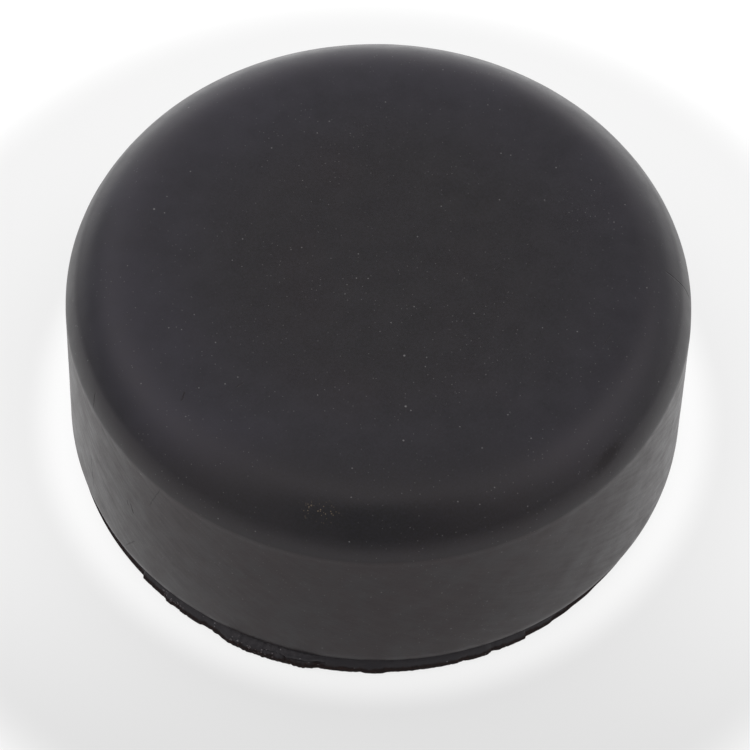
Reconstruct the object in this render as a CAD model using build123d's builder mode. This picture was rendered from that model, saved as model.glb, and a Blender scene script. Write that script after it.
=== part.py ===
"""A moulded rubber hockey puck, in millimetres.

The puck is one compression moulding. The upper mould half forms the body: the flat
face, the rounded shoulder, the wall and a narrower plinth under the wall. Rubber that
escapes at the mould joint fills the space round the plinth and is torn off roughly,
which leaves the trim flash, a low ragged band that stands a little proud of the wall
at the front and a little behind it at the back.

The origin is the centre of the flat underside, with +Z up through the top face.
"""

import os
from math import cos, radians, sin

from build123d import *

# ---- driving dimensions ---------------------------------------------------------
diameter = 76.2             # 3 in across the wall
thickness = 31.3            # underside to top face
shoulder_reach = 6.7        # the shoulder's run in from the wall, and down from the face
shoulder_fullness = 0.38    # curve handle over reach: 0.55 is a round arc, 0 a flat bevel
foot_height = 2.4           # the mould joint, where the wall ends and the flash begins
foot_corner = 0.5           # radius on the wall's lower corner
plinth_inset = 1.7          # the plinth's wall, in from the puck's own wall

flash_setback = 0.25        # the flash's foot behind the wall, if both were concentric
mould_shift = 0.6           # how far the lower mould half sat out of line
mould_shift_angle = 258.0   # the direction that it sat out of line, degrees from +X
flash_taper = 10.0          # lean of the flash's outer side, degrees
torn_lobe_radius = 20.0     # plan radius of the wide tab left by the tear
torn_lobe_stand_out = 0.8   # the tab's furthest reach beyond the wall
torn_lobe_angle = 250.0     # the middle of the tab, degrees from +X

# ---- sizes that follow ----------------------------------------------------------
radius = diameter / 2
plinth_radius = radius - plinth_inset
shoulder_handle = shoulder_reach * (1 - shoulder_fullness)
flash_radius = radius - flash_setback


def polar(distance, angle):
    """A point in plan, at a distance from the axis and an angle in degrees from +X."""
    return (distance * cos(radians(angle)), distance * sin(radians(angle)))


# ---- body: face, shoulder, wall and plinth, turned about the axis ----------------
with BuildPart() as puck_body:
    with BuildSketch(Plane.XZ):
        with BuildLine():
            underside = Line((0, 0), (plinth_radius, 0))
            plinth = Line(underside @ 1, (plinth_radius, foot_height))
            step = Line(plinth @ 1, (radius - foot_corner, foot_height))
            corner = RadiusArc(step @ 1, (radius, foot_height + foot_corner), -foot_corner)
            wall = Line(corner @ 1, (radius, thickness - shoulder_reach))
            shoulder = Bezier(
                wall @ 1,
                (radius, thickness - shoulder_handle),
                (radius - shoulder_reach + shoulder_handle, thickness),
                (radius - shoulder_reach, thickness),
            )
            face = Line(shoulder @ 1, (0, thickness))
            Line(face @ 1, underside @ 0)
        make_face()
    revolve(axis=Axis.Z)
puck_body.part.label = "puck_body"

# ---- flash: a tapered band round the plinth, with one wide torn tab --------------
with BuildPart() as trim_flash:
    with BuildSketch(Plane.XY):
        with Locations(polar(mould_shift, mould_shift_angle)):
            Circle(flash_radius)
        lobe_centre = radius + torn_lobe_stand_out - torn_lobe_radius
        with Locations(polar(lobe_centre, torn_lobe_angle)):
            Circle(torn_lobe_radius)
    extrude(amount=foot_height, taper=flash_taper)
    with BuildSketch(Plane.XY):
        Circle(plinth_radius)
    extrude(amount=foot_height, mode=Mode.SUBTRACT)
trim_flash.part.label = "trim_flash"

# ---- write the pieces -------------------------------------------------------------
os.makedirs("parts", exist_ok=True)
for piece in (puck_body, trim_flash):
    export_step(piece.part, f"parts/{piece.part.label}.step")
    size = piece.part.bounding_box().size
    print(f"{piece.part.label}: {size.X:.2f} x {size.Y:.2f} x {size.Z:.2f} mm, {piece.part.volume:.0f} mm3")
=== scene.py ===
"""A moulded rubber hockey puck: its body, its torn trim flash, its finishes and its studio.

Sizes are in metres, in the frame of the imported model: the origin is the centre of the flat
underside, +Z points up through the top face, and the camera stands on the -Y side.
"""

import logging
import random
from collections.abc import Callable
from dataclasses import dataclass
from enum import Enum
from math import atan2, cos, degrees, hypot, radians, sin
from typing import Any

import bmesh
import bpy
from mathutils import Matrix, Vector


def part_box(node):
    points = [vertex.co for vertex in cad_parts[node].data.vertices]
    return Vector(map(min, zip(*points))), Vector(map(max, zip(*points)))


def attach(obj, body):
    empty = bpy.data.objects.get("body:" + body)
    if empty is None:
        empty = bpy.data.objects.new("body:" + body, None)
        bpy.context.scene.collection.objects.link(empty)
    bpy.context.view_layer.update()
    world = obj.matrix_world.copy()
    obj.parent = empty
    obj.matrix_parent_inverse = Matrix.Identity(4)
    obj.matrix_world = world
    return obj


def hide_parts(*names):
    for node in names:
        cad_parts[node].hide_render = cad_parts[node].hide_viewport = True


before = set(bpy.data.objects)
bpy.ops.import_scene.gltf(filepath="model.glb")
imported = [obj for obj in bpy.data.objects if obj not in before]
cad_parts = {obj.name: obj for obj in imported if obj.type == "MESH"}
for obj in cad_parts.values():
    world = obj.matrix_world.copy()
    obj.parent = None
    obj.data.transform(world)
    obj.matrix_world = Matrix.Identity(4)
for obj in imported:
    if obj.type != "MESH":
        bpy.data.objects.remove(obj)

log = logging.getLogger("hockey_puck")

MM = 0.001
PER_METRE = 1000.0
WHOLE_TURN = 360.0
SMOOTH_UNDER = 32.0  # degrees between faces, up to which an edge is shaded smooth
ROUND_ARC = 0.5  # a bevel's profile
STANDS_UNDER = 0.04 * MM  # points lower than this rest on the floor

Colour = tuple[float, float, float]
Span = tuple[float, float]


class Slot(Enum):
    """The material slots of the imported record."""

    SKIN = "moulded_rubber"
    TEAR = "torn_rubber"


# ---- shader maths ---------------------------------------------------------------


class Signal:
    """One value in a node tree, which can be used in an expression."""

    def __init__(self, recipe: "Recipe", socket: bpy.types.NodeSocket) -> None:
        """Wraps a socket.

        Args:
            recipe: The recipe that the socket belongs to.
            socket: The output socket that holds the value.
        """
        self.recipe = recipe
        self.socket = socket

    def _math(self, operation: str, first: "Operand", second: "Operand" = 0.0) -> "Signal":
        """A Math node's result.

        Args:
            operation: The Math node's operation.
            first: The first operand.
            second: The second operand.

        Returns:
            The node's value.
        """
        return self.recipe.node("ShaderNodeMath", {"operation": operation}, {0: first, 1: second})

    def __add__(self, other: "Operand") -> "Signal":
        """self + other."""
        return self._math("ADD", self, other)

    def __radd__(self, other: "Operand") -> "Signal":
        """other + self."""
        return self._math("ADD", other, self)

    def __sub__(self, other: "Operand") -> "Signal":
        """self - other."""
        return self._math("SUBTRACT", self, other)

    def __rsub__(self, other: "Operand") -> "Signal":
        """other - self."""
        return self._math("SUBTRACT", other, self)

    def __mul__(self, other: "Operand") -> "Signal":
        """self * other."""
        return self._math("MULTIPLY", self, other)

    def __rmul__(self, other: "Operand") -> "Signal":
        """other * self."""
        return self._math("MULTIPLY", other, self)

    def __truediv__(self, other: "Operand") -> "Signal":
        """self / other."""
        return self._math("DIVIDE", self, other)

    def __pow__(self, other: "Operand") -> "Signal":
        """self raised to other."""
        return self._math("POWER", self, other)

    def __abs__(self) -> "Signal":
        """The size of self without its sign."""
        return self._math("ABSOLUTE", self)

    def angle_to(self, other: "Operand") -> "Signal":
        """The angle whose tangent is self over other, in radians."""
        return self._math("ARCTAN2", self, other)

    def larger(self, other: "Operand") -> "Signal":
        """The larger of self and other."""
        return self._math("MAXIMUM", self, other)

    def rise(self, low: "Operand", high: "Operand") -> "Signal":
        """A mask that rises smoothly.

        Args:
            low: Where the mask is 0.
            high: Where the mask is 1, which may be under low for a mask that falls.

        Returns:
            The mask, between 0 and 1.
        """
        settings = {"interpolation_type": "SMOOTHSTEP", "clamp": True}
        return self.recipe.node(
            "ShaderNodeMapRange", settings, {"Value": self, "From Min": low, "From Max": high}
        )


Operand = Signal | float


class Recipe:
    """Adds nodes to one node tree."""

    def __init__(self, tree: bpy.types.NodeTree) -> None:
        """Starts on an empty tree.

        Args:
            tree: The tree of a material or a world.
        """
        self.tree = tree
        tree.nodes.clear()

    def node(
        self,
        kind: str,
        settings: dict[str, Any] | None = None,
        sockets: dict[int | str, Any] | None = None,
        output: int | str = 0,
    ) -> Signal:
        """Adds a node.

        Args:
            kind: The node's type name.
            settings: The node's own properties, set before its sockets.
            sockets: Values or signals for its input sockets, by name or number.
            output: The output that is wanted.

        Returns:
            The node's output, or the node's first input on a node with no output.
        """
        made = self.tree.nodes.new(kind)
        for name, value in (settings or {}).items():
            setattr(made, name, value)
        for name, value in (sockets or {}).items():
            if isinstance(value, Signal):
                self.tree.links.new(value.socket, made.inputs[name])
            else:
                made.inputs[name].default_value = value
        return Signal(self, made.outputs[output] if made.outputs else made.inputs[0])

    def blend(self, share: Operand, first: Any, second: Any) -> Signal:
        """Mixes two colours.

        Args:
            share: How much of the second colour, from 0 to 1.
            first: A colour or a signal.
            second: A colour or a signal.

        Returns:
            The mixed colour.
        """
        first, second = (c if isinstance(c, Signal) else (*c, 1.0) for c in (first, second))
        return self.node("ShaderNodeMix", {"data_type": "RGBA"}, {0: share, 6: first, 7: second}, 2)

    def parts(self, vector: Signal) -> tuple[Signal, Signal, Signal]:
        """The X, Y and Z of a vector."""
        split = self.node("ShaderNodeSeparateXYZ", None, {0: vector}).socket.node
        return tuple(Signal(self, split.outputs[i]) for i in range(3))

    def joined(self, x: Operand, y: Operand, z: Operand = 0.0) -> Signal:
        """A vector of three values."""
        return self.node("ShaderNodeCombineXYZ", None, {0: x, 1: y, 2: z})

    def noise(self, place: Signal, grain: float, detail: float = 3.0, rough: float = 0.55) -> Signal:
        """Cloudy noise between 0 and 1.

        Args:
            place: Coordinates in millimetres.
            grain: The size of its lumps in millimetres.
            detail: How many finer layers it has.
            rough: How strong the finer layers are.

        Returns:
            The noise.
        """
        sockets = {"Vector": place, "Scale": 1 / grain, "Detail": detail, "Roughness": rough}
        return self.node("ShaderNodeTexNoise", {"noise_dimensions": "3D"}, sockets)

    def crumbs(self, place: Signal, spacing: float, radius: float, share: float) -> Signal:
        """Scattered round specks.

        Args:
            place: Coordinates in millimetres.
            spacing: The size of the cells that hold one speck each, in millimetres.
            radius: The radius of the largest speck, in millimetres.
            share: The share of cells that have a speck.

        Returns:
            A mask that is 1 on the specks.
        """
        sockets = {"Vector": place, "Scale": 1 / spacing, "Randomness": 1.0}
        cells = self.node("ShaderNodeTexVoronoi", {"feature": "F1"}, sockets).socket.node
        near = Signal(self, cells.outputs["Distance"]).rise(radius / spacing, 0.5 * radius / spacing)
        chance, _, _ = self.parts(Signal(self, cells.outputs["Color"]))
        return near * chance.rise(share, share * 0.9)


# ---- finishes --------------------------------------------------------------------


@dataclass(frozen=True)
class Crack:
    """A hairline crack in the skin, straight on the unrolled wall."""

    angle: float  # the middle of the crack, degrees from +X
    height: float  # the middle of the crack, millimetres up from the underside
    length: float  # millimetres
    lean: float  # degrees from level
    width: float = 0.09  # millimetres
    depth: float = 1.0  # how dark it is, from 0 to 1


@dataclass(frozen=True)
class Scratch:
    """A short scratch on the flat face."""

    x: float  # its middle, in millimetres
    y: float
    length: float
    lean: float  # degrees from +X
    depth: float = 1.0


@dataclass(frozen=True)
class MouldedRubber:
    """The skin of the puck: black rubber with a bloom that also paints light on the face and rim,
    rubbed places, grain and pale dust.
    """

    radius: float
    black: Colour = (0.0104, 0.0104, 0.0110)
    warm_black: Colour = (0.0098, 0.0062, 0.0064)
    # the bloom's pale bluish tone, which the bloom mask also lays down as painted light
    bloom_and_painted_light: Colour = (0.0185, 0.0182, 0.0245)
    dust: Colour = (0.24, 0.235, 0.235)
    sand: Colour = (0.30, 0.23, 0.15)
    soot: Colour = (0.0030, 0.0026, 0.0030)
    tint: Colour = (1.0, 0.89, 0.93)
    roughness: float = 0.35
    specular: float = 0.22
    crease: float = 24.6  # millimetres up from the underside
    patch_angle: float = 319.0  # degrees from +X
    patch_height: float = 27.6
    cracks: tuple[Crack, ...] = (
        Crack(207.2, 25.9, 2.1, 116.0, width=0.12),
        Crack(205.6, 9.0, 6.8, 94.5, depth=0.7),
        Crack(220.7, 14.1, 2.0, 106.0, width=0.13),
        Crack(219.4, 14.3, 1.4, 100.0, depth=0.8),
        Crack(227.3, 21.6, 6.3, 71.0, depth=0.6),
        Crack(219.8, 5.5, 4.3, 59.0, depth=0.5),
        Crack(1.9, 27.7, 4.6, 71.0, width=0.12),
    )
    scratches: tuple[Scratch, ...] = (
        Scratch(-22.8, -19.8, 1.5, 75.0),
        Scratch(-16.1, -18.0, 1.2, 40.0, 0.7),
        Scratch(-18.6, -28.7, 1.6, 20.0, 0.6),
        Scratch(27.5, -9.5, 2.4, 60.0, 0.5),
    )

    def material(self) -> bpy.types.Material:
        """Makes the material.

        Returns:
            The finished material.
        """
        material = bpy.data.materials.new("moulded_rubber")
        material.use_nodes = True
        recipe = Recipe(material.node_tree)
        metres = recipe.node("ShaderNodeTexCoord", output="Object")
        scale = {0: metres, "Scale": PER_METRE}
        place = recipe.node("ShaderNodeVectorMath", {"operation": "SCALE"}, scale)
        x, y, z = recipe.parts(place)
        around = y.angle_to(x) * (self.radius * PER_METRE)
        reach = (x * x + y * y) ** 0.5

        above = z.rise(self.crease - 0.3, self.crease + 0.5)
        clouds = recipe.noise(place, 15.0, 4.0)
        mottle = recipe.noise(place, 3.2, 5.0, 0.65)
        pores = recipe.noise(place, 0.30, 2.0, 0.7)
        streaks = recipe.noise(
            recipe.joined(around * 0.16 - z * 0.10, z * 1.3 + around * 0.75, 0.0), 1.0, 4.0, 0.6
        )

        # the bloom mask also paints light: thicker towards the rim, the back and the left, and absent
        # on the front shoulder, where it leaves painted shade
        film_and_painted_light = self._film_and_painted_light(recipe, x, y, z, reach) * (0.35 + 0.9 * clouds) * (0.6 + 0.8 * mottle)
        warmth = (1 - above) * (0.35 + 0.9 * mottle.rise(0.3, 0.7)) + 0.25 * clouds.rise(0.5, 0.7)
        specks = self._specks(recipe, place, clouds)
        grit = self._grit(recipe, place, x, y, z)
        cuts = self._cuts(recipe, around, place)
        crumple = recipe.noise(place, 0.55, 3.0, 0.7)
        wrinkled = self._wrinkles(around, z, crumple)

        colour = recipe.blend(warmth, self.black, self.warm_black)
        # painted light: the bloom colour laid on thickest at the rim and the back, and kept off the
        # dark front shoulder
        colour = recipe.blend(film_and_painted_light, colour, self.bloom_and_painted_light)
        colour = recipe.blend((pores - 0.5) * 0.9 + 0.12, colour, self.bloom_and_painted_light)
        colour = recipe.blend(specks, colour, self.dust)
        colour = recipe.blend(grit, colour, self.sand)
        colour = recipe.blend(cuts.larger(wrinkled * 0.75), colour, self.soot)

        dull = 0.08 * (clouds - 0.5) + 0.22 * (mottle - 0.5) + 0.20 * (1 - above) * (streaks - 0.5)
        gloss = self.roughness + dull + 0.25 * (specks + cuts + wrinkled) + 0.10 * (pores - 0.5)

        relief = 0.5 * pores + 0.6 * mottle + 0.5 * streaks * (1 - above)
        relief = relief + 1.6 * crumple * wrinkled - 2.5 * cuts
        bump = recipe.node(
            "ShaderNodeBump", None, {"Strength": 0.30, "Distance": 0.04 * MM, "Height": relief}
        )
        skin = recipe.node(
            "ShaderNodeBsdfPrincipled",
            None,
            {
                "Base Color": colour,
                "Roughness": gloss,
                "Normal": bump,
                "Specular IOR Level": self.specular,
                "Specular Tint": (*self.tint, 1.0),
            },
        )
        recipe.node("ShaderNodeOutputMaterial", None, {"Surface": skin})
        return material

    def _film_and_painted_light(self, recipe: Recipe, x: Signal, y: Signal, z: Signal, reach: Signal) -> Signal:
        """The bluish bloom, partly painted light: thicker towards the rim, the back and the left as a
        painted highlight on the face and rim, and absent along the front shoulder, which stays dark as
        painted shade.

        Args:
            recipe: The material's recipe; not used.
            x: The X coordinate in millimetres.
            y: The Y coordinate in millimetres.
            z: The Z coordinate in millimetres.
            reach: The distance from the axis in millimetres.

        Returns:
            How much bloom and painted light there is, from 0 to 1.
        """
        # thicker towards the rim: a painted highlight along the rim
        ring = 0.05 + 0.95 * reach.rise(13.0, 33.0)
        # absent along the front shoulder: painted shade there
        level = z.rise(self.crease + 0.5, self.crease + 6.0) * y.rise(-33.0, -22.0)
        # more towards the back and the left: painted light on the face
        side = 1.0 - 0.4 * x.rise(-30.0, 20.0) + 0.35 * y.rise(5.0, 32.0)
        return ring * level * side

    def _specks(self, recipe: Recipe, place: Signal, clouds: Signal) -> Signal:
        """Pale dust, in a few sizes.

        Args:
            recipe: The material's recipe.
            place: Coordinates in millimetres.
            clouds: Cloudy noise, which gathers the dust.

        Returns:
            How pale the dust is, from 0 to 1.
        """
        large = 0.36 * recipe.crumbs(place, 3.1, 0.17, 0.20)
        middling = 0.30 * recipe.crumbs(place, 1.4, 0.12, 0.32)
        fine = 0.22 * recipe.crumbs(place, 0.55, 0.085, 0.45) * clouds.rise(0.30, 0.6)
        return large.larger(middling).larger(fine)

    def _grit(self, recipe: Recipe, place: Signal, x: Signal, y: Signal, z: Signal) -> Signal:
        """The golden-brown grit on the middle of the front shoulder.

        Args:
            recipe: The material's recipe.
            place: Coordinates in millimetres.
            x: The X coordinate in millimetres.
            y: The Y coordinate in millimetres.
            z: The Z coordinate in millimetres.

        Returns:
            A mask of the grit.
        """
        spread = recipe.noise(place, 0.8, 3.0, 0.7)
        wide, tall = (x + 6.0) / 2.7, (z - 29.5) / 0.75
        off = (wide * wide + tall * tall) ** 0.5
        patch = (off + 1.6 * (spread - 0.5)).rise(1.3, 0.2)
        grains = recipe.crumbs(place, 0.30, 0.09, 0.6).larger(recipe.crumbs(place, 0.6, 0.14, 0.3))
        return patch * grains * y.rise(-20.0, -25.0) * (0.15 + 0.45 * spread)

    def _cuts(self, recipe: Recipe, around: Signal, place: Signal) -> Signal:
        """The hairline cracks, and the scratches on the face.

        Args:
            recipe: The material's recipe.
            around: The distance round the wall in millimetres, from -X to +X to -X.
            place: Coordinates in millimetres.

        Returns:
            A mask of the cracks and scratches.
        """
        x, y, z = recipe.parts(place)
        above = z.rise(30.0, 31.0)
        wander = 0.35 * (recipe.noise(place, 1.1, 3.0, 0.6) - 0.5)
        marked = 0.0
        for crack in self.cracks:
            turn = (crack.angle + 180.0) % WHOLE_TURN - 180.0
            across_turn = around - radians(turn) * self.radius * PER_METRE
            up = z - crack.height
            along_x, along_z = cos(radians(crack.lean)), sin(radians(crack.lean))
            along = abs(across_turn * along_x + up * along_z)
            aside = abs(up * along_x - across_turn * along_z + wander)
            line = aside.rise(crack.width, 0.3 * crack.width)
            marked = line * along.rise(crack.length / 2, crack.length / 3) * crack.depth + marked
        for scratch in self.scratches:
            step_x, step_y = x - scratch.x, y - scratch.y
            along_x, along_y = cos(radians(scratch.lean)), sin(radians(scratch.lean))
            along = abs(step_x * along_x + step_y * along_y)
            aside = abs(step_y * along_x - step_x * along_y + wander)
            line = aside.rise(0.12, 0.04) * along.rise(scratch.length / 2, scratch.length / 3)
            marked = line * above * scratch.depth + marked
        return marked * 0.9

    def _wrinkles(self, around: Signal, z: Signal, crumple: Signal) -> Signal:
        """The dull wrinkled patch on the right of the front shoulder.

        Args:
            around: The distance round the wall in millimetres, from -X to +X to -X.
            z: The height in millimetres.
            crumple: The noise of the wrinkles.

        Returns:
            A mask of the patch.
        """
        along = (around - radians(self.patch_angle - WHOLE_TURN) * self.radius * PER_METRE) / 4.8
        aside = (z - self.patch_height - 0.5 * along) / 1.25
        ragged = (along * along + aside * aside) ** 0.5 + 0.9 * (crumple - 0.5)
        return ragged.rise(1.0, 0.2)


@dataclass(frozen=True)
class TornRubber:
    """The raw rubber of the flash, matt and brownish where it was torn, painted darker along its lower
    edge as shade near the floor, with a pale haze along its top that is partly painted light.
    """

    name: str = "torn_rubber"
    black: Colour = (0.0115, 0.0110, 0.0128)
    # brown of torn rubber, made darker as painted shade along the edge by the floor
    brown_and_painted_shade: Colour = (0.0050, 0.0026, 0.0022)
    rust: Colour = (0.0260, 0.0095, 0.0060)
    # a pale haze, partly painted light on the band's upward-facing top
    haze_and_painted_light: Colour = (0.060, 0.056, 0.060)
    crumb: Colour = (0.20, 0.19, 0.20)
    tint: Colour = (1.0, 0.92, 0.97)
    roughness: float = 0.46
    torn_roughness: float = 0.98
    specular: float = 0.30
    # the torn lower edge reaches up to this height: brown torn rubber, darkened as painted shade near
    # the floor
    torn_shade_height: float = 0.95  # millimetres up from the underside

    def material(self) -> bpy.types.Material:
        """Makes the material.

        Returns:
            The finished material.
        """
        material = bpy.data.materials.new(self.name)
        material.use_nodes = True
        recipe = Recipe(material.node_tree)
        metres = recipe.node("ShaderNodeTexCoord", output="Object")
        scale = {0: metres, "Scale": PER_METRE}
        place = recipe.node("ShaderNodeVectorMath", {"operation": "SCALE"}, scale)
        x, _, z = recipe.parts(place)
        lumps = recipe.noise(place, 1.2, 4.0, 0.6)
        fibres = recipe.noise(place, 0.20, 3.0, 0.7)
        edge = z + 0.9 * (lumps - 0.5)
        # torn rubber and painted shade: rougher towards the floor, and coloured darker there as
        # painted shade
        torn = edge.rise(self.torn_shade_height + 0.15, self.torn_shade_height - 0.25)
        crumbs = recipe.crumbs(place, 0.75, 0.12, 0.25)
        tab = x.rise(-21.0, -17.0) * x.rise(-4.0, -8.0)
        # painted light: paler on the upward-facing top of the band, and less over the tab, whose
        # groove is left dark as painted shade
        hazy_and_painted_light = z.rise(1.5, 2.2) * lumps.rise(0.35, 0.6) * (0.6 - 0.5 * tab)
        colour = recipe.blend(hazy_and_painted_light, self.black, self.haze_and_painted_light)
        # painted shade: the lower edge darkened as if shaded near the floor, and brown as torn rubber
        colour = recipe.blend(torn, colour, self.brown_and_painted_shade)
        colour = recipe.blend(torn * fibres.rise(0.52, 0.7), colour, self.rust)
        colour = recipe.blend(crumbs * 0.6, colour, self.crumb)
        relief = lumps + 0.5 * fibres
        bump = recipe.node(
            "ShaderNodeBump", None, {"Strength": 0.5, "Distance": 0.08 * MM, "Height": relief}
        )
        dull = self.roughness + (self.torn_roughness - self.roughness) * torn
        skin = recipe.node(
            "ShaderNodeBsdfPrincipled",
            None,
            {
                "Base Color": colour,
                "Roughness": dull + 0.2 * (lumps - 0.5),
                "Normal": bump,
                "Specular IOR Level": self.specular,
                "Specular Tint": (*self.tint, 1.0),
            },
        )
        recipe.node("ShaderNodeOutputMaterial", None, {"Surface": skin})
        return material


# ---- modelling --------------------------------------------------------------------


class Workpiece:
    """One mesh, shaped with Blender's own tools."""

    def __init__(self, name: str) -> None:
        """Takes the primitive that was added last, and opens it for editing.

        Args:
            name: The name of the finished piece.
        """
        self.object = bpy.context.object
        self.object.name = self.object.data.name = name
        bpy.ops.object.transform_apply(location=True, rotation=True, scale=True)
        bpy.ops.object.mode_set(mode="EDIT")

    def pick(self, kind: str, test: Callable[[Any], bool]) -> None:
        """Selects points, edges or faces.

        Args:
            kind: VERT, EDGE or FACE.
            test: Says whether a point, edge or face of the mesh is selected.
        """
        bpy.ops.mesh.select_mode(type=kind)
        bpy.ops.mesh.select_all(action="DESELECT")
        mesh = bmesh.from_edit_mesh(self.object.data)
        for item in {"VERT": mesh.verts, "EDGE": mesh.edges, "FACE": mesh.faces}[kind]:
            item.select = test(item)
        mesh.select_flush_mode()
        bmesh.update_edit_mesh(self.object.data)

    def extrude_faces(self, rise: float, growth: float = 1.0) -> None:
        """Extrudes the selected faces straight up, then sizes them about the axis.

        Args:
            rise: How far up.
            growth: The factor on their distance from the axis.
        """
        bpy.ops.mesh.extrude_region_move(TRANSFORM_OT_translate={"value": (0, 0, rise)})
        if growth != 1.0:
            self.grow(growth)

    def extrude_loop(self, rise: float, growth: float) -> None:
        """Extrudes the selected edges, then sizes them about the axis.

        Args:
            rise: How far up.
            growth: The factor on their distance from the axis.
        """
        bpy.ops.mesh.extrude_edges_move(TRANSFORM_OT_translate={"value": (0, 0, rise)})
        self.grow(growth)

    def grow(self, factor: float, fade: float = 0.0) -> None:
        """Sizes the selection about the puck's axis.

        Args:
            factor: The factor on its distance from the axis.
            fade: The distance over which the points beside it follow, or 0.
        """
        follow = {}
        if fade:
            follow = {
                "use_proportional_edit": True,
                "proportional_edit_falloff": "SMOOTH",
                "proportional_size": fade,
            }
        bpy.ops.transform.resize(value=(factor, factor, 1), center_override=(0, 0, 0), **follow)

    def close(self) -> None:
        """Leaves edit mode."""
        bpy.ops.object.mode_set(mode="OBJECT")

    def roughen(self, name: str, lump: float, depth: float, group: str = "") -> None:
        """Displaces the finished mesh with cloudy noise, half outward and half inward.

        Args:
            name: A name for the noise.
            lump: The size of its lumps.
            depth: The distance between its highest and lowest points.
            group: The vertex group that limits it, or nothing for the whole mesh.
        """
        clouds = bpy.data.textures.new(name, "CLOUDS")
        clouds.noise_scale = lump
        clouds.noise_depth = 3
        modifier = self.object.modifiers.new(name, "DISPLACE")
        modifier.texture = clouds
        modifier.texture_coords = "LOCAL"
        modifier.strength = depth
        modifier.vertex_group = group
        bpy.ops.object.modifier_apply(modifier=name)

    def weigh(self, name: str, weight: Callable[[Vector], float]) -> None:
        """Adds a vertex group.

        Args:
            name: The group's name.
            weight: The weight of a point, from 0 to 1.
        """
        group = self.object.vertex_groups.new(name=name)
        for vertex in self.object.data.vertices:
            group.add([vertex.index], weight(vertex.co), "REPLACE")

    def stand_flat(self) -> None:
        """Presses every point near the standing surface down onto it."""
        bpy.ops.object.mode_set(mode="EDIT")
        self.pick("VERT", lambda point: point.co.z < STANDS_UNDER)
        bpy.ops.transform.resize(value=(1, 1, 0), center_override=(0, 0, 0))
        self.close()

    def finish(self, material: bpy.types.Material, slot: Slot, replaced: str = "") -> None:
        """Smooths and dresses the piece, and hands it to the frame.

        Args:
            material: Its finish.
            slot: The record's slot that the finish belongs to; not used.
            replaced: The CAD node that the piece stands for, or nothing for an extra piece.
        """
        bpy.ops.object.shade_smooth_by_angle(angle=radians(SMOOTH_UNDER))
        self.object.data.materials.clear()
        self.object.data.materials.append(material)
        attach(self.object, "root")
        if replaced:
            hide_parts(replaced)
        self.object.select_set(False)
        log.info("%s: %d faces", self.object.name, len(self.object.data.polygons))


def angle_of(point: Vector) -> float:
    """The plan angle of a point, in degrees from +X and from 0 to 360."""
    return degrees(atan2(point.y, point.x)) % WHOLE_TURN


def reach_of(point: Vector) -> float:
    """The distance of a point from the puck's axis."""
    return hypot(point.x, point.y)


def direction(angle: float) -> Vector:
    """The level unit vector at an angle in degrees from +X."""
    return Vector((cos(radians(angle)), sin(radians(angle)), 0))


# ---- sub-assemblies ---------------------------------------------------------------


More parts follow.
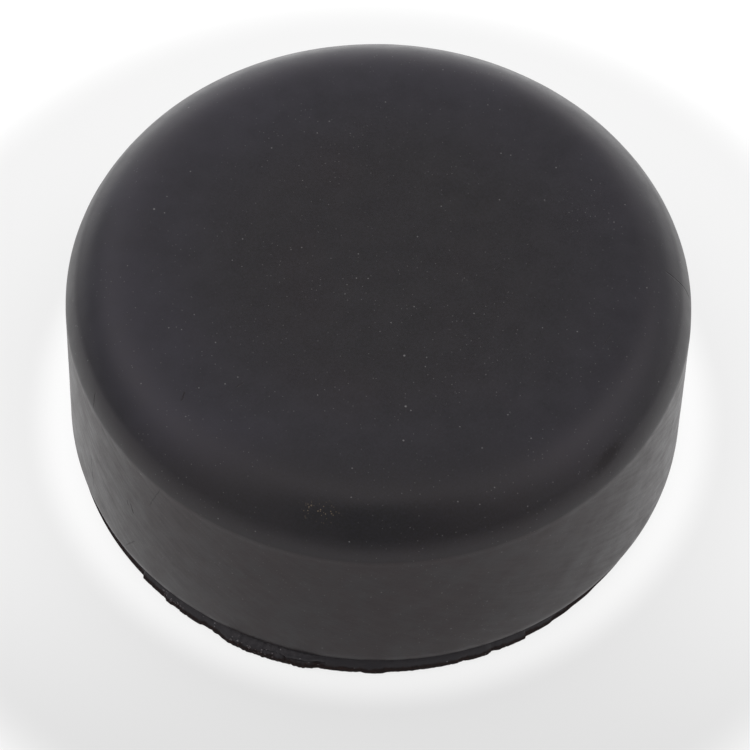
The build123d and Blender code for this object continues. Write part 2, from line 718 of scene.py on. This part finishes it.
@dataclass
class PuckBody:
    """The moulded body: plinth, wall, shoulder and face."""

    radius: float
    thickness: float
    foot_height: float
    plinth_inset: float = 1.7 * MM
    ledge_drop: float = 0.32 * MM  # how far the wall's foot hangs over the flash
    foot_corner: float = 0.25 * MM
    foot_rows: int = 5
    foot_sweep: float = 5.5 * MM  # the radius of the wall's gentle curve in to its foot
    sweep_height: float = 1.25 * MM
    sweep_rows: int = 5
    shoulder_reach: float = 6.7 * MM
    shoulder_form: float = 0.414  # the bevel's profile: 0.5 is a round arc and 0.25 is flat
    crease_bead: float = 0.014 * MM
    ease_width: float = 3.5 * MM  # how far either side of the shoulder's edge it is eased
    ease_rounds: int = 40
    points_around: int = 640
    wall_rows: int = 36
    shoulder_rows: int = 24
    face_rings: int = 26

    def build(self) -> Workpiece:
        """Models the body from its plinth up.

        Returns:
            The body, open for its finish.
        """
        plinth = self.radius - self.plinth_inset
        ledge = self.foot_height - self.ledge_drop
        bpy.ops.mesh.primitive_cylinder_add(
            vertices=self.points_around, radius=plinth, depth=ledge, location=(0, 0, ledge / 2)
        )
        body = Workpiece("puck_moulding")
        self._raise_wall(body, plinth)
        self._round_edges(body)
        self._ring_faces(body, plinth)
        self._ease_shoulder(body)
        body.close()
        body.roughen("slow_waves", 11 * MM, 0.10 * MM)
        body.roughen("quick_waves", 3.5 * MM, 0.03 * MM)
        body.stand_flat()
        return body

    def _raise_wall(self, body: Workpiece, plinth: float) -> None:
        """Steps the plinth out to the wall, and raises the wall to the face.

        Args:
            body: The body.
            plinth: The plinth's radius.
        """
        body.pick("FACE", lambda face: face.normal.z > 0.5)
        reach, height = plinth, self.foot_height - self.ledge_drop
        for row in range(self.sweep_rows + 1):
            above = self.sweep_height * (1 - row / self.sweep_rows)
            swept = self.radius - above**2 / (2 * self.foot_sweep)
            body.extrude_faces(self.sweep_height / self.sweep_rows if row else 0.0, swept / reach)
            reach = swept
        height += self.sweep_height
        bead = self.radius + self.crease_bead
        crease = self.thickness - self.shoulder_reach
        row = (crease - height) / (self.wall_rows + 1)
        for _ in range(self.wall_rows):
            body.extrude_faces(row)
        body.extrude_faces(row / 2, bead / reach)
        body.extrude_faces(row / 2, reach / bead)
        body.extrude_faces(self.shoulder_reach)

    def _round_edges(self, body: Workpiece) -> None:
        """Rounds the shoulder and the wall's lower corner.

        Args:
            body: The body.
        """

        def is_rim(edge: bmesh.types.BMEdge, height: float) -> bool:
            """Whether an edge lies on the wall's radius at a height."""
            ends = [vertex.co for vertex in edge.verts]
            level = all(abs(end.z - height) < 0.01 * MM for end in ends)
            return level and all(reach_of(end) > self.radius - 0.5 * MM for end in ends)

        for height, reach, rows, form in (
            (self.thickness, self.shoulder_reach * 0.998, self.shoulder_rows, self.shoulder_form),
            (self.foot_height - self.ledge_drop, self.foot_corner, self.foot_rows, ROUND_ARC),
        ):
            body.pick("EDGE", lambda edge: is_rim(edge, height))
            bpy.ops.mesh.bevel(offset=reach, segments=rows, profile=form, clamp_overlap=False)

    def _ring_faces(self, body: Workpiece, plinth: float) -> None:
        """Gives both flat faces rings of smaller faces.

        Args:
            body: The body.
            plinth: The plinth's radius.
        """
        flats = ((1, self.radius - self.shoulder_reach), (-1, plinth))
        for side, reach in flats:
            body.pick("FACE", lambda face: face.normal.z * side > 0.5 and len(face.verts) > 4)
            for _ in range(self.face_rings):
                bpy.ops.mesh.inset(thickness=reach / (self.face_rings + 1))
            bpy.ops.mesh.poke()

    def _ease_shoulder(self, body: Workpiece) -> None:
        """Lets the flat face run into the shoulder without a line.

        Args:
            body: The body.
        """
        inner = self.radius - self.shoulder_reach - self.ease_width
        lowest = self.thickness - self.ease_width
        body.pick("VERT", lambda point: point.co.z > lowest and reach_of(point.co) > inner)
        bpy.ops.mesh.vertices_smooth(factor=0.5, repeat=self.ease_rounds)


@dataclass(frozen=True)
class Tear:
    """One stretch of the flash that was torn further out or further in than the rest."""

    start: float  # degrees from +X
    end: float
    outward: float  # millimetres, and less than 0 for a stretch that is cut back
    fade: float = 0.5  # millimetres over which it dies away
    low: float = -0.1  # the heights that it lies between, in millimetres
    high: float = 2.4


@dataclass
class TrimFlash:
    """The flash: a low band of rubber round the plinth, torn off roughly at the front."""

    radius: float
    foot_height: float
    plinth_inset: float = 1.7 * MM
    setback: float = 0.25 * MM
    mould_shift: float = 0.60 * MM
    mould_shift_angle: float = 258.0
    root_inset: float = 1.4 * MM  # what lies further in stays where it is when the band shifts
    skin_inset: float = 1.15 * MM  # what lies further in is never torn
    points_around: int = 1440
    stations: tuple[Span, ...] = (
        # the band's section from its top inside, in millimetres: in from its foot, height
        (1.30, 2.38),
        (0.96, 1.98),
        (0.78, 1.84),
        (0.63, 1.68),
        (0.50, 1.50),
        (0.40, 1.33),
        (0.31, 1.16),
        (0.22, 0.99),
        (0.14, 0.84),
        (0.07, 0.70),
        (0.02, 0.58),
        (0.0, 0.46),
        (0.0, 0.34),
        (0.02, 0.22),
        (0.07, 0.10),
        (0.17, 0.02),
        (0.35, 0.0),
        (0.75, 0.0),
        (1.40, 0.0),
    )
    tears: tuple[Tear, ...] = (
        # trimmed close at the left, with a step where the trimming stops
        Tear(176, 222.9, -0.50, 0.45),
        Tear(223.4, 229.2, -0.22, 0.40),
        Tear(231.3, 232.8, -0.10, 0.30),
        Tear(238.2, 240.2, -0.15, 0.60),
        # the wide torn tab, and the small one beside it
        Tear(244.2, 259.0, 0.42, 1.90, high=1.0),
        Tear(248.0, 251.0, 0.06, 1.20, high=0.8),
        Tear(256.6, 258.6, 0.08, 0.40, high=0.7),
        Tear(261.5, 268.0, 0.10, 0.80, high=0.9),
        Tear(269.9, 272.6, 0.18, 1.00, high=0.6),
        # the groove under the wall above the tab, and the split in the tab
        Tear(240.0, 254.0, -0.26, 0.50, low=1.6, high=1.9),
        Tear(251.0, 255.0, -0.30, 0.25, low=1.15, high=1.3),
        Tear(254.5, 262.5, -0.34, 0.25, low=0.98, high=1.1),
        Tear(255.0, 262.0, 0.10, 0.30, low=1.35, high=1.7),
        # thinner towards the right, in steps
        Tear(287.2, 288.6, -0.08, 0.30, high=0.9),
        Tear(292.8, 300.2, -0.12, 0.25),
        Tear(293.3, 294.3, -0.12, 0.20),
        Tear(300.6, 361.0, -0.36, 0.30),
        Tear(307.0, 355.0, -0.14, 1.00),
        Tear(312.0, 352.0, -0.10, 1.50),
        Tear(318.0, 345.0, -0.12, 2.00),
    )
    torn_from: float = 223.0  # degrees from +X
    torn_to: float = 306.0
    torn_fade: float = 4.0
    tab_from: float = 241.5
    tab_to: float = 263.0
    tab_fade: float = 3.0
    chips: int = 90
    chip_depth: float = 0.05 * MM

    def build(self) -> Workpiece:
        """Models the band as a ring, shifts it, tears it and roughens it.

        Returns:
            The flash, open for its finish.
        """
        band = self._ring()
        for tear in self.tears:
            self._tear(band, tear)
        self._chip(band)
        band.close()
        band.weigh("torn", self._tornness)
        band.weigh("tab", self._in_tab)
        band.roughen("torn_lumps", 1.2 * MM, 0.06 * MM, "torn")
        band.roughen("torn_grain", 0.30 * MM, 0.06 * MM, "torn")
        band.roughen("tab_lumps", 0.6 * MM, 0.26 * MM, "tab")
        band.stand_flat()
        return band

    def _ring(self) -> Workpiece:
        """Extrudes the band's section into a closed ring round its own centre.

        Returns:
            The ring, in edit mode.
        """
        inner = self.radius - self.plinth_inset
        shift = direction(self.mould_shift_angle) * self.mould_shift
        bpy.ops.mesh.primitive_circle_add(
            vertices=self.points_around, radius=inner, location=(0, 0, self.foot_height)
        )
        band = Workpiece("flash_band")
        bpy.ops.mesh.select_mode(type="EDGE")
        bpy.ops.mesh.select_all(action="SELECT")
        reach, height = inner, self.foot_height
        for inward, level in self.stations:
            station = self.radius - self.setback - inward * MM
            band.extrude_loop(level * MM - height, station / reach)
            reach, height = station, level * MM
        band.pick("EDGE", lambda edge: edge.is_boundary)
        bpy.ops.mesh.bridge_edge_loops()
        bpy.ops.mesh.select_all(action="SELECT")
        bpy.ops.mesh.normals_make_consistent(inside=False)
        band.pick("VERT", lambda point: reach_of(point.co) > self.radius - self.root_inset)
        bpy.ops.transform.translate(value=shift)
        return band

    def _tear(self, band: Workpiece, tear: Tear) -> None:
        """Moves one stretch of the band's outside in or out.

        Args:
            band: The flash, in edit mode.
            tear: The stretch, and how far it moves.
        """

        def is_torn(point: bmesh.types.BMVert) -> bool:
            """Whether a point lies on the stretch's outside."""
            place = point.co
            within = (angle_of(place) - tear.start) % WHOLE_TURN <= tear.end - tear.start
            level = tear.low * MM <= place.z <= tear.high * MM
            return within and level and reach_of(place) > self.radius - self.skin_inset

        band.pick("VERT", is_torn)
        factor = 1 + tear.outward * MM / self.radius
        band.grow(factor, fade=tear.fade * MM)

    def _chip(self, band: Workpiece) -> None:
        """Nicks the lower edge here and there.

        Args:
            band: The flash, in edit mode.
        """
        chance = random.Random(20)
        for _ in range(self.chips):
            angle = chance.uniform(self.torn_from + 2, self.torn_to)
            depth = chance.uniform(-1, 0.7) * self.chip_depth
            half = degrees(chance.uniform(0.05, 0.22) * MM / self.radius)
            self._tear(band, Tear(angle - half, angle + half, depth / MM, 0.22, high=0.7))

    def _tornness(self, point: Vector) -> float:
        """How torn a point of the band is, from 0 inside it to 1 along the torn stretch."""
        inside = min(angle_of(point) - self.torn_from, self.torn_to - angle_of(point)) / self.torn_fade
        out = (reach_of(point) - self.radius + 1.0 * MM) / (0.4 * MM)
        return min(1.0, max(0.0, out)) * min(1.0, max(0.15, inside))

    def _in_tab(self, point: Vector) -> float:
        """How far a point is inside the torn tab, from 0 to 1."""
        along = min(angle_of(point) - self.tab_from, self.tab_to - angle_of(point)) / self.tab_fade
        return min(1.0, max(0.0, along)) * self._tornness(point)


@dataclass
class FlashShreds:
    """Small slivers of rubber that still hang on the torn flash, most of them on its tab."""

    radius: float
    count: int = 46
    size: float = 0.085 * MM
    stretches: tuple[Span, ...] = ((228.0, 234.0), (243.5, 251.0), (248.0, 262.0))

    def build(self, band: bpy.types.Object) -> Workpiece:
        """Models one sliver, copies it along the flash and joins the copies.

        Args:
            band: The finished flash, which the slivers lie on.

        Returns:
            The slivers, open for their finish.
        """
        chance = random.Random(7)
        bpy.context.view_layer.update()
        bpy.ops.mesh.primitive_ico_sphere_add(subdivisions=1, radius=self.size)
        sliver = bpy.context.object
        slivers = [sliver]
        for _ in range(self.count - 1):
            bpy.ops.object.duplicate(linked=False)
            slivers.append(bpy.context.object)
        for piece in slivers:
            angle = chance.uniform(*chance.choice(self.stretches))
            height = chance.gauss(0.95, 0.18) * MM
            outward = direction(angle)
            start = outward * (self.radius + 4 * MM) + Vector((0, 0, height))
            _, place, _, _ = band.ray_cast(start, -outward)
            piece.location = place
            tips = chance.uniform(-40, 40), chance.uniform(-40, 40), angle + 90
            piece.rotation_euler = [radians(tip) for tip in tips]
            piece.scale = chance.uniform(0.8, 2.4), chance.uniform(0.5, 0.9), chance.uniform(0.5, 1)
        bpy.ops.object.select_all(action="DESELECT")
        for piece in slivers:
            piece.select_set(True)
        bpy.context.view_layer.objects.active = sliver
        bpy.ops.object.join()
        shreds = Workpiece("flash_shreds")
        shreds.close()
        shreds.roughen("shred_lumps", 0.12 * MM, 0.05 * MM)
        return shreds


# ---- studio -----------------------------------------------------------------------


@dataclass(frozen=True)
class SoftBox:
    """A large round patch of light in the surroundings."""

    azimuth: float  # degrees from +X
    height: float  # degrees above level
    strength: float


@dataclass
class Studio:
    """A pale glowing floor, soft light all round and a camera that looks down on the puck."""

    middle: Vector
    view_width: float = 92.3 * MM
    elevation: float = 55.3  # degrees
    distance: float = 609.6 * MM
    roll: float = 1.9  # degrees
    aim_right: float = -0.15 * MM
    aim_down: float = 5.03 * MM
    sensor: float = 36.0
    floor_size: float = 6.0
    floor_gap: float = 0.02 * MM  # keeps the floor clear of the puck's underside
    floor_pale: Colour = (0.25, 0.25, 0.25)
    floor_glow: float = 0.43
    far_glow: float = 0.70
    near_glow: float = 0.05
    contact_glow: float = 0.15
    side_glow: float = 0.16
    # where each glow starts and is full, in millimetres from the axis, and from front to back
    far_reach: Span = (60.0, 82.0)
    near_reach: Span = (80.0, 45.0)
    contact_reach: Span = (44.5, 39.2)
    side_reach: Span = (125.0, 80.0)
    side_depth: Span = (-60.0, -10.0)
    box_spread: float = 48.0  # degrees from a box's middle to where it has faded away
    boxes: tuple[SoftBox, ...] = (
        SoftBox(180, 60, 1.40),
        SoftBox(0, 60, 1.20),
        SoftBox(350, 35, 0.90),
        SoftBox(135, 35, 0.76),
        SoftBox(90, 8, 1.90),
        SoftBox(45, 8, 0.65),
        SoftBox(225, 8, 0.50),
        SoftBox(200, 30, 0.35),
        SoftBox(315, 12, 0.25),
        SoftBox(270, 22, 0.24),
    )

    def build(self) -> None:
        """Sets up the floor, the light and the camera."""
        self._lay_floor()
        self._light()
        self._place_camera()
        bpy.context.scene.view_settings.view_transform = "Standard"

    def _lay_floor(self) -> None:
        """Lays a matt pale floor that is softly lit from below, like a light table."""
        bpy.ops.mesh.primitive_plane_add(size=self.floor_size, location=(0, 0, -self.floor_gap))
        floor = bpy.context.object
        floor.name = "studio_floor"
        material = bpy.data.materials.new("floor_pale")
        material.use_nodes = True
        recipe = Recipe(material.node_tree)
        metres = recipe.node("ShaderNodeTexCoord", output="Object")
        place = recipe.node(
            "ShaderNodeVectorMath", {"operation": "SCALE"}, {0: metres, "Scale": PER_METRE}
        )
        x, y, _ = recipe.parts(place)
        reach = (x * x + y * y) ** 0.5
        sides = reach.rise(*self.side_reach) * y.rise(*self.side_depth)
        glow = self.floor_glow + self.near_glow * reach.rise(*self.near_reach)
        glow = glow + self.side_glow * sides
        glow = glow + self.far_glow * reach.rise(*self.far_reach)
        glow = glow + self.contact_glow * reach.rise(*self.contact_reach)
        surface = recipe.node(
            "ShaderNodeBsdfPrincipled",
            None,
            {
                "Base Color": (*self.floor_pale, 1.0),
                "Roughness": 0.9,
                "Specular IOR Level": 0.0,
                "Emission Color": recipe.joined(glow, glow, glow),
                "Emission Strength": 1.0,
            },
        )
        recipe.node("ShaderNodeOutputMaterial", None, {"Surface": surface})
        floor.data.materials.append(material)
        floor.select_set(False)

    def _light(self) -> None:
        """Makes the soft light: large patches at the sides and behind, and a dark front."""
        world = bpy.data.worlds.new("studio_light")
        bpy.context.scene.world = world
        world.use_nodes = True
        recipe = Recipe(world.node_tree)
        view = recipe.node("ShaderNodeTexCoord", output="Generated")
        strength = 0.0
        for box in self.boxes:
            rise = radians(box.height)
            towards = direction(box.azimuth) * cos(rise) + Vector((0, 0, sin(rise)))
            cosine = recipe.node(
                "ShaderNodeVectorMath", {"operation": "DOT_PRODUCT"}, {0: view, 1: towards}, "Value"
            )
            patch = cosine.rise(cos(radians(self.box_spread)), 1.0)
            strength = patch * box.strength + strength
        light = recipe.node(
            "ShaderNodeBackground", None, {"Color": (1.0, 1.0, 1.0, 1.0), "Strength": strength}
        )
        recipe.node("ShaderNodeOutputWorld", None, {"Surface": light})

    def _place_camera(self) -> None:
        """Puts the camera at its angle and aims it a little below the puck's middle."""
        tilt = radians(self.elevation)
        backward = Vector((0, -cos(tilt), sin(tilt)))
        up = Vector((0, sin(tilt), cos(tilt)))
        spot = self.middle + backward * self.distance
        aim = self.middle + Vector((self.aim_right, 0, 0)) - up * self.aim_down
        bpy.ops.object.camera_add(location=spot)
        camera = bpy.context.object
        facing = (aim - spot).to_track_quat("-Z", "Y").to_matrix()
        turn = Matrix.Rotation(radians(self.roll), 3, "Z")
        camera.rotation_euler = (facing @ turn).to_euler()
        camera.data.sensor_width = self.sensor
        camera.data.lens = self.sensor * self.distance / self.view_width
        camera.data.clip_start = 10 * MM
        bpy.context.scene.camera = camera


def main() -> None:
    """Builds the puck and its studio."""
    logging.basicConfig(level=logging.INFO, format="%(name)s: %(message)s")
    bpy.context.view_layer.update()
    bpy.ops.object.select_all(action="DESELECT")

    low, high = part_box("puck_body")
    foot_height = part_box("trim_flash")[1][2]
    radius = (high[0] - low[0]) / 2
    thickness = high[2]

    skin = MouldedRubber(radius).material()
    tear = TornRubber().material()
    crumbs = TornRubber("torn_crumbs", black=(0.11, 0.10, 0.105), brown_and_painted_shade=(0.05, 0.04, 0.04)).material()
    PuckBody(radius, thickness, foot_height).build().finish(skin, Slot.SKIN, "puck_body")
    flash = TrimFlash(radius, foot_height).build()
    flash.finish(tear, Slot.TEAR, "trim_flash")
    FlashShreds(radius).build(flash.object).finish(crumbs, Slot.TEAR)
    Studio(Vector((0, 0, (foot_height + thickness) / 2))).build()


if __name__ == "__main__":
    main()
